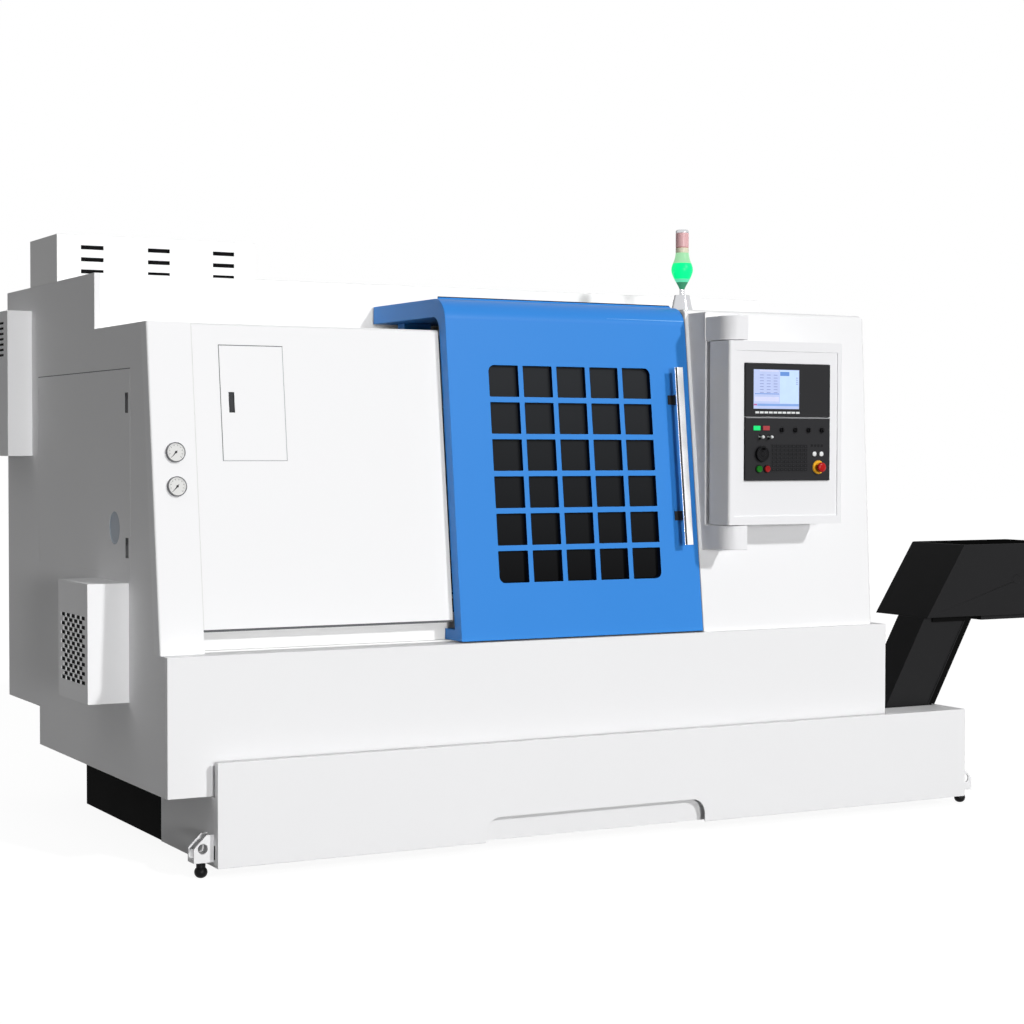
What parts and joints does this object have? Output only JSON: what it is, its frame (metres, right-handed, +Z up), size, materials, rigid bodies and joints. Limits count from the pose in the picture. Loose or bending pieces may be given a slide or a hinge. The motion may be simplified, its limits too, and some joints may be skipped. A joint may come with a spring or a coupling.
{
  "type": "cnc turning lathe",
  "caption": "Enclosed slant-bed CNC turning lathe with a sliding window door, swivelling control pendant, chuck, turret and tailstock, and a chip conveyor with a discharge hood.",
  "frame": {"origin": "bottom centre of the box round the whole machine, on the floor", "axes": "+X to the operator's right along the spindle, towards the chip conveyor; +Y to the back; +Z up"},
  "size_m": [4.354, 2.198, 2.391],
  "materials": {
    "cast_base": "painted dark, semi-matt",
    "black_paint": "semi-gloss black paint",
    "light_grey_paint": "fine textured light paint",
    "white_paint": "fine textured white paint",
    "blue_paint": "satin blue paint",
    "pendant_paint": "fine textured light paint",
    "dark_plastic": "matt, faintly grained",
    "ground_steel": "ground",
    "chuck_steel": "turned",
    "slide_iron": "painted",
    "foot_steel": "blackened",
    "motor_paint": "satin paint",
    "belt_rubber": "matt",
    "liner_steel": "satin paint",
    "window_glass": "tinted, laminated",
    "gauge_chrome": "polished bezel",
    "lens_plastic": "translucent lenses",
    "stop_red": "gloss",
    "start_green": "gloss",
    "knob_plastic": "matt",
    "lever_chrome": "polished"
  },
  "bodies": {
    "machine": {"machine_bed": "cast_base", "headstock": "cast_base", "conveyor_casing": "black_paint", "conveyor_hood": "black_paint", "coolant_tank": "light_grey_paint", "mid_skirt": "light_grey_paint", "tank_front_skirt": "light_grey_paint", "left_side_wall": "light_grey_paint", "rear_shell": "light_grey_paint", "roof_box": "white_paint", "front_roof": "white_paint", "right_cover": "white_paint", "corner_column": "white_paint", "left_front_panel": "white_paint", "door_sill": "white_paint", "vent_cabinet": "white_paint", "pump_box": "white_paint", "supply_box": "white_paint", "pendant_post": "pendant_paint", "z_axis_guide_set": "ground_steel", "door_top_rail": "ground_steel", "levelling_feet": "foot_steel", "tank_ball_feet": "foot_steel", "spindle_motor": "motor_paint", "conveyor_gearmotor": "motor_paint", "drive_belt": "belt_rubber", "chamber_liner": "liner_steel", "dial_gauges": "gauge_chrome", "stack_light": "lens_plastic"},
    "spindle": {"spindle": "ground_steel", "chuck_body": "chuck_steel"},
    "jaw_1": {"chuck_jaw_1": "ground_steel"},
    "jaw_2": {"chuck_jaw_2": "ground_steel"},
    "jaw_3": {"chuck_jaw_3": "ground_steel"},
    "motor_pulley": {"motor_pulley": "ground_steel"},
    "carriage": {"carriage": "slide_iron"},
    "cross_slide": {"cross_slide": "slide_iron"},
    "turret": {"turret_disc": "chuck_steel"},
    "tailstock": {"tailstock_body": "cast_base"},
    "quill": {"tailstock_quill": "ground_steel"},
    "centre": {"live_centre": "ground_steel"},
    "door": {"door_shell": "blue_paint", "door_glass": "window_glass", "door_handle": "ground_steel"},
    "hatch": {"hatch_door": "white_paint"},
    "service_door": {"service_door": "light_grey_paint"},
    "pendant": {"pendant_housing": "pendant_paint", "screen_unit": "dark_plastic", "operator_panel": "dark_plastic"},
    "emergency_stop": {"emergency_stop": "stop_red"},
    "start_button": {"cycle_start_button": "start_green"},
    "hold_button": {"feed_hold_button": "stop_red"},
    "handwheel": {"handwheel": "knob_plastic"},
    "selector_1": {"selector_knob_1": "knob_plastic"},
    "selector_2": {"selector_knob_2": "knob_plastic"},
    "selector_3": {"selector_knob_3": "knob_plastic"},
    "selector_4": {"selector_knob_4": "knob_plastic"},
    "lever_1": {"lever_switch_1": "lever_chrome"},
    "lever_2": {"lever_switch_2": "lever_chrome"},
    "conveyor_shaft": {"conveyor_shaft": "ground_steel"}
  },
  "joints": [
    {"name": "door_slide", "type": "slide", "parent": "machine", "child": "door", "axis": [1, 0, 0], "range_m": [-0.94, 0]},
    {"name": "hatch_hinge", "type": "hinge", "parent": "machine", "child": "hatch", "pos_m": [-1.522, -0.85204, 0.77529], "axis": [0, 0.1177, 0.993], "range_deg": [0, 100]},
    {"name": "service_hinge", "type": "hinge", "parent": "machine", "child": "service_door", "pos_m": [-2.017, 0.624, 1.4], "axis": [0, 0, 1], "range_deg": [-95, 0]},
    {"name": "pendant_swivel", "type": "hinge", "parent": "machine", "child": "pendant", "pos_m": [0.263, -0.987, 1.563], "axis": [0, 0, 1], "range_deg": [-90, 0]},
    {"name": "emergency_stop_press", "type": "slide", "parent": "pendant", "child": "emergency_stop", "axis": [0, 1, 0], "range_m": [0, 0.004]},
    {"name": "start_press", "type": "slide", "parent": "pendant", "child": "start_button", "axis": [0, 1, 0], "range_m": [0, 0.003], "stiffness_N_per_m": 800},
    {"name": "hold_press", "type": "slide", "parent": "pendant", "child": "hold_button", "axis": [0, 1, 0], "range_m": [0, 0.003], "stiffness_N_per_m": 800},
    {"name": "handwheel_turn", "type": "hinge", "parent": "pendant", "child": "handwheel", "pos_m": [0.368, -1.066, 1.481], "axis": [0, 1, 0], "continuous": true},
    {"name": "selector_1_turn", "type": "hinge", "parent": "pendant", "child": "selector_1", "pos_m": [0.464, -1.066, 1.575], "axis": [0, 1, 0], "range_deg": [-60, 60]},
    {"name": "selector_2_turn", "type": "hinge", "parent": "pendant", "child": "selector_2", "pos_m": [0.529, -1.066, 1.575], "axis": [0, 1, 0], "range_deg": [-60, 60]},
    {"name": "selector_3_turn", "type": "hinge", "parent": "pendant", "child": "selector_3", "pos_m": [0.594, -1.066, 1.575], "axis": [0, 1, 0], "range_deg": [-60, 60]},
    {"name": "selector_4_turn", "type": "hinge", "parent": "pendant", "child": "selector_4", "pos_m": [0.659, -1.066, 1.575], "axis": [0, 1, 0], "range_deg": [-60, 60]},
    {"name": "lever_1_flip", "type": "hinge", "parent": "pendant", "child": "lever_1", "pos_m": [0.359, -1.0617, 1.547], "axis": [1, 0, 0], "range_deg": [-20, 20]},
    {"name": "lever_2_flip", "type": "hinge", "parent": "pendant", "child": "lever_2", "pos_m": [0.401, -1.0617, 1.547], "axis": [1, 0, 0], "range_deg": [-20, 20]},
    {"name": "spindle_turn", "type": "hinge", "parent": "machine", "child": "spindle", "pos_m": [-0.923, -0.312, 1.1], "axis": [1, 0, 0], "continuous": true},
    {"name": "motor_turn", "type": "hinge", "parent": "machine", "child": "motor_pulley", "pos_m": [-1.543, -0.032, 0.56], "axis": [1, 0, 0], "continuous": true},
    {"name": "jaw_1_slide", "type": "slide", "parent": "spindle", "child": "jaw_1", "axis": [0, 0, 1], "range_m": [-0.008, 0.008]},
    {"name": "jaw_2_slide", "type": "slide", "parent": "spindle", "child": "jaw_2", "axis": [0, -0.866, -0.5], "range_m": [-0.008, 0.008]},
    {"name": "jaw_3_slide", "type": "slide", "parent": "spindle", "child": "jaw_3", "axis": [0, 0.866, -0.5], "range_m": [-0.008, 0.008]},
    {"name": "carriage_slide", "type": "slide", "parent": "machine", "child": "carriage", "axis": [1, 0, 0], "range_m": [-0.15, 0.23]},
    {"name": "cross_slide_travel", "type": "slide", "parent": "carriage", "child": "cross_slide", "axis": [0, 0.7071, 0.7071], "range_m": [-0.2, 0]},
    {"name": "turret_index", "type": "hinge", "parent": "cross_slide", "child": "turret", "pos_m": [-0.443, -0.00794, 1.40406], "axis": [1, 0, 0], "continuous": true},
    {"name": "tailstock_slide", "type": "slide", "parent": "machine", "child": "tailstock", "axis": [1, 0, 0], "range_m": [-0.15, 0.15]},
    {"name": "quill_slide", "type": "slide", "parent": "tailstock", "child": "quill", "axis": [1, 0, 0], "range_m": [-0.12, 0]},
    {"name": "centre_turn", "type": "hinge", "parent": "quill", "child": "centre", "pos_m": [0.207, -0.312, 1.1], "axis": [1, 0, 0], "continuous": true},
    {"name": "conveyor_turn", "type": "hinge", "parent": "machine", "child": "conveyor_shaft", "pos_m": [1.927, -0.616, 0.93], "axis": [0, 1, 0], "continuous": true}
  ],
  "couplings": [
    {"joint": "motor_turn", "follows": "spindle_turn", "ratio": 1.375},
    {"joint": "jaw_2_slide", "follows": "jaw_1_slide", "ratio": 1},
    {"joint": "jaw_3_slide", "follows": "jaw_1_slide", "ratio": 1}
  ]
}
